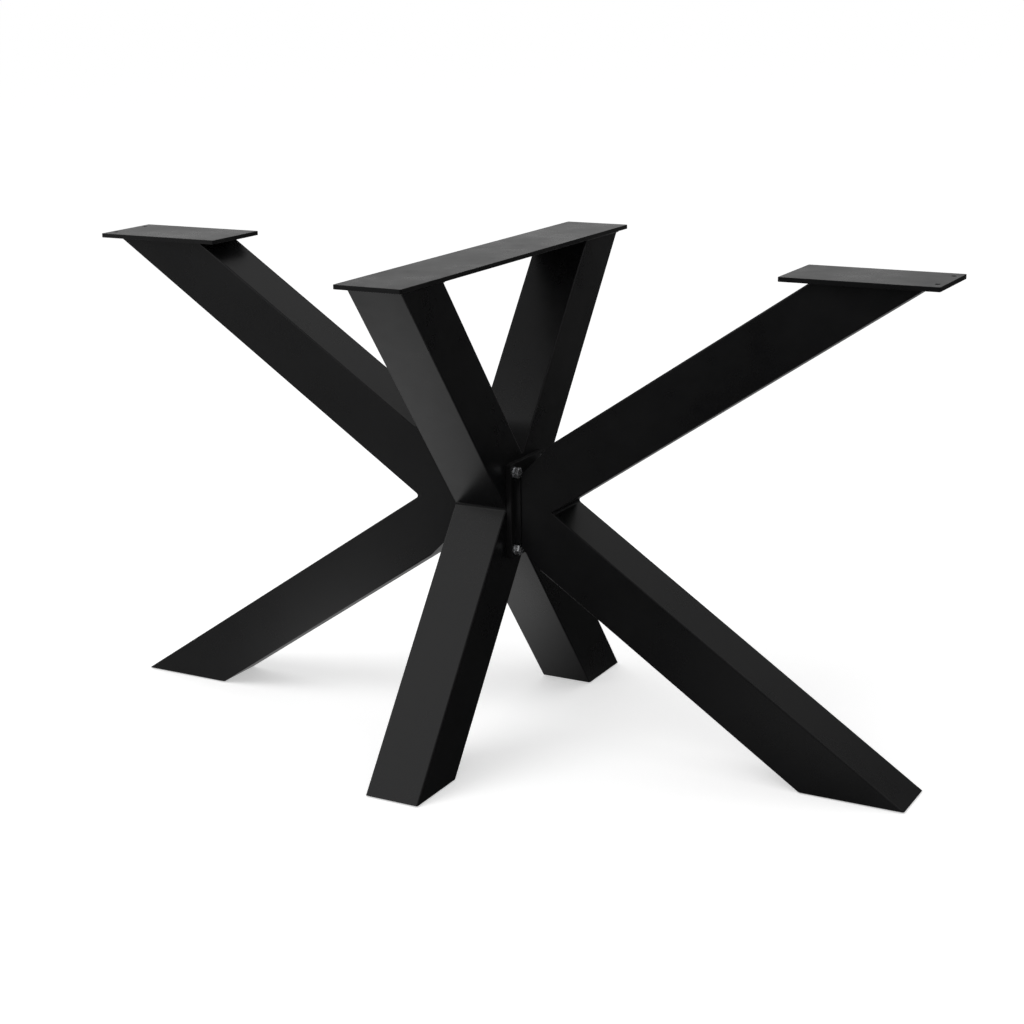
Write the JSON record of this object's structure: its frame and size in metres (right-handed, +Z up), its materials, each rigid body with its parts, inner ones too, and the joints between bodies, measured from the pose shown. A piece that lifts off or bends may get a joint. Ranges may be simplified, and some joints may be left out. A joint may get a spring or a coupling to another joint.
{
  "type": "table frame",
  "caption": "Spider-leg table frame: a crossed trestle of square steel tube with a V-shaped bracket bolted to each side, feet below and flat top plates above.",
  "frame": {"origin": "on the floor, under the middle of the crossing", "axes": "+X along the table's length, through both brackets; +Y along the trestle, away from the near foot; +Z up"},
  "size_m": [1.2598, 0.635, 0.682],
  "materials": {
    "powder_coat": "satin black powder coat",
    "zinc": "bright zinc plate",
    "glide_plastic": "matte moulded plastic"
  },
  "bodies": {
    "root": {"trestle_through_tube": "powder_coat", "trestle_upper_half_tube": "powder_coat", "trestle_lower_half_tube": "powder_coat", "trestle_top_plate": "powder_coat", "near_foot_plate": "powder_coat", "far_foot_plate": "powder_coat", "near_glide": "glide_plastic", "far_glide": "glide_plastic", "right_flange": "powder_coat", "right_end_plate": "powder_coat", "right_upper_tube": "powder_coat", "right_lower_tube": "powder_coat", "right_upper_cover": "powder_coat", "right_lower_cover": "powder_coat", "right_top_plate": "powder_coat", "right_foot_plate": "powder_coat", "right_glide": "glide_plastic", "right_flange_screws": "zinc", "right_flat_washers": "zinc", "right_spring_washers": "zinc", "right_weld_nuts": "zinc", "left_flange": "powder_coat", "left_end_plate": "powder_coat", "left_upper_tube": "powder_coat", "left_lower_tube": "powder_coat", "left_upper_cover": "powder_coat", "left_lower_cover": "powder_coat", "left_top_plate": "powder_coat", "left_foot_plate": "powder_coat", "left_glide": "glide_plastic", "left_flange_screws": "zinc", "left_flat_washers": "zinc", "left_spring_washers": "zinc", "left_weld_nuts": "zinc"}
  },
  "joints": []
}
